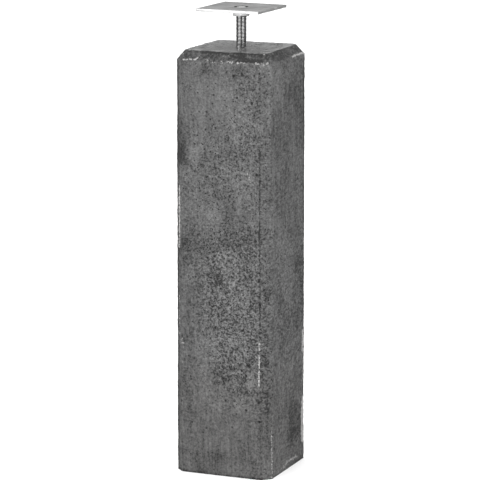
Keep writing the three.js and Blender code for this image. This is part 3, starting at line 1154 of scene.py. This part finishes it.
class POSTBASE_OT_plate(bpy.types.Operator):
    """Shear and punch the galvanised bearing plate"""

    bl_idname = "postbase.plate"
    bl_label = "Bearing Plate"

    def execute(self, context):
        low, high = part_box("bearing_plate")
        thick = high.z - low.z
        bpy.ops.object.select_all(action="DESELECT")
        bpy.ops.mesh.primitive_cube_add(size=1, location=(0, 0, low.z + thick / 2),
                                        rotation=(0, 0, PLATE_TURN), scale=(PLATE_SIDE, PLATE_SIDE, thick))
        piece = new_piece("zinc_bearing_plate")
        below, above = low.z - CUTTER_MARGIN, high.z + CUTTER_MARGIN
        hole = turned_body("plate_hole", [
            (0, below), (PLATE_HOLE_RADIUS, below), (PLATE_HOLE_RADIUS, above), (0, above),
        ], PLATE_HOLE_SIDES)
        combine(piece, hole, "DIFFERENCE")
        apply_modifier(piece, "BEVEL", width=PLATE_EDGE, segments=3, limit_method="ANGLE",
                       angle_limit=PLATE_EDGE_ANGLE)
        tidy_normals(piece)
        # The plate's edges are painted as a lit copy of the zinc and its top and underside as a shaded
        # copy; its hole holds painted shade
        material = zinc_material("zinc_plate", side_grey=0.60, shaded_end_grey=0.235, rough=0.38,
                                 spangle_size=18 * MM, heights=(low.z, high.z), rounding=PLATE_EDGE,
                                 bore_radius=10.6 * MM)
        finish_piece(piece, material, "bearing_plate", "head_plate", smooth_degrees=30)
        return {"FINISHED"}


# Studio

def area_light(name, azimuth, elevation, distance, width, height, power):
    """A soft box that looks at the block's middle; its azimuth is counted from the camera's."""
    data = bpy.data.lights.new(name, "AREA")
    data.shape = "RECTANGLE"
    data.size = width
    data.size_y = height
    data.energy = power
    lamp = bpy.data.objects.new(name, data)
    bpy.context.scene.collection.objects.link(lamp)
    turn = VIEW_AZIMUTH + math.radians(azimuth)
    lift = math.radians(elevation)
    away = Vector((math.sin(turn) * math.cos(lift), -math.cos(turn) * math.cos(lift), math.sin(lift)))
    lamp.location = Vector((0, 0, LIGHT_AIM_HEIGHT)) + away * distance
    lamp.rotation_euler = away.to_track_quat("Z", "Y").to_euler()


def studio_air():
    """Light from a white ceiling that falls off towards grey walls."""
    world = bpy.data.worlds.new("studio_air")
    world.use_nodes = True
    nodes, links = world.node_tree.nodes, world.node_tree.links
    split = nodes.new("ShaderNodeSeparateXYZ")
    links.new(nodes.new("ShaderNodeTexCoord").outputs["Generated"], split.inputs["Vector"])
    rise_of_light = nodes.new("ShaderNodeMapRange")
    rise_of_light.interpolation_type = "SMOOTHSTEP"
    rise_of_light.inputs["From Min"].default_value = WALL_ENDS
    rise_of_light.inputs["From Max"].default_value = CEILING_STARTS
    rise_of_light.inputs["To Min"].default_value = WALL_LIGHT
    rise_of_light.inputs["To Max"].default_value = CEILING_LIGHT
    links.new(split.outputs["Z"], rise_of_light.inputs["Value"])
    air = nodes["Background"]
    air.inputs["Color"].default_value = (1, 1, 1, 1)
    links.new(rise_of_light.outputs["Result"], air.inputs["Strength"])
    return world


class POSTBASE_OT_studio(bpy.types.Operator):
    """Lay the pale floor and set the soft lights and the camera"""

    bl_idname = "postbase.studio"
    bl_label = "Studio"

    def execute(self, context):
        look = context.scene.post_base
        bpy.ops.object.select_all(action="DESELECT")
        bpy.ops.mesh.primitive_plane_add(size=2 * FLOOR_HALF, location=(0, 0, 0))
        floor = bpy.context.active_object
        floor.name = "studio_floor"
        recipe = Recipe("pale_floor")
        floor.data.materials.append(recipe.finish(Base_Color=grey(look.floor_grey), Roughness=FLOOR_ROUGH))
        floor.visible_glossy = False

        area_light("key", azimuth=-62, elevation=24, distance=2.6, width=1.2, height=1.2, power=11)
        area_light("box_left", azimuth=-40, elevation=2, distance=1.7, width=1.5, height=1.6, power=16.4)
        area_light("box_right", azimuth=40, elevation=2, distance=1.7, width=1.25, height=1.6, power=13.6)

        context.scene.world = studio_air()
        context.scene.view_settings.view_transform = "Standard"

        lens = bpy.data.cameras.new("photo_view")
        lens.sensor_width = SENSOR_MM
        lens.lens = FOCAL_PX / PHOTO_SIDE * SENSOR_MM
        lens.clip_end = CAMERA_FAR
        camera = bpy.data.objects.new("photo_view", lens)
        context.scene.collection.objects.link(camera)
        camera.matrix_world = Matrix.Translation(EYE) @ Matrix((RIGHT, UP, BACK)).transposed().to_4x4()
        context.scene.camera = camera
        return {"FINISHED"}


class POSTBASE_PT_panel(bpy.types.Panel):
    """Post base tools and settings"""

    bl_idname = "POSTBASE_PT_panel"
    bl_label = "Post Base"
    bl_space_type = "VIEW_3D"
    bl_region_type = "UI"
    bl_category = "Post Base"

    def draw(self, context):
        for name in PostBaseLook.__annotations__:
            self.layout.prop(context.scene.post_base, name)
        for step in STEPS:
            self.layout.operator(step.bl_idname)


STEPS = (POSTBASE_OT_studio, POSTBASE_OT_block, POSTBASE_OT_rod, POSTBASE_OT_nut, POSTBASE_OT_plate)
CLASSES = (PostBaseLook, *STEPS, POSTBASE_PT_panel)


def register():
    for cls in CLASSES:
        bpy.utils.register_class(cls)
    bpy.types.Scene.post_base = bpy.props.PointerProperty(type=PostBaseLook)


def unregister():
    del bpy.types.Scene.post_base
    for cls in reversed(CLASSES):
        bpy.utils.unregister_class(cls)


def main():
    register()
    bpy.ops.postbase.studio()
    bpy.ops.postbase.block()
    bpy.ops.postbase.rod()
    bpy.ops.postbase.nut()
    bpy.ops.postbase.plate()


if __name__ == "__main__":
    main()
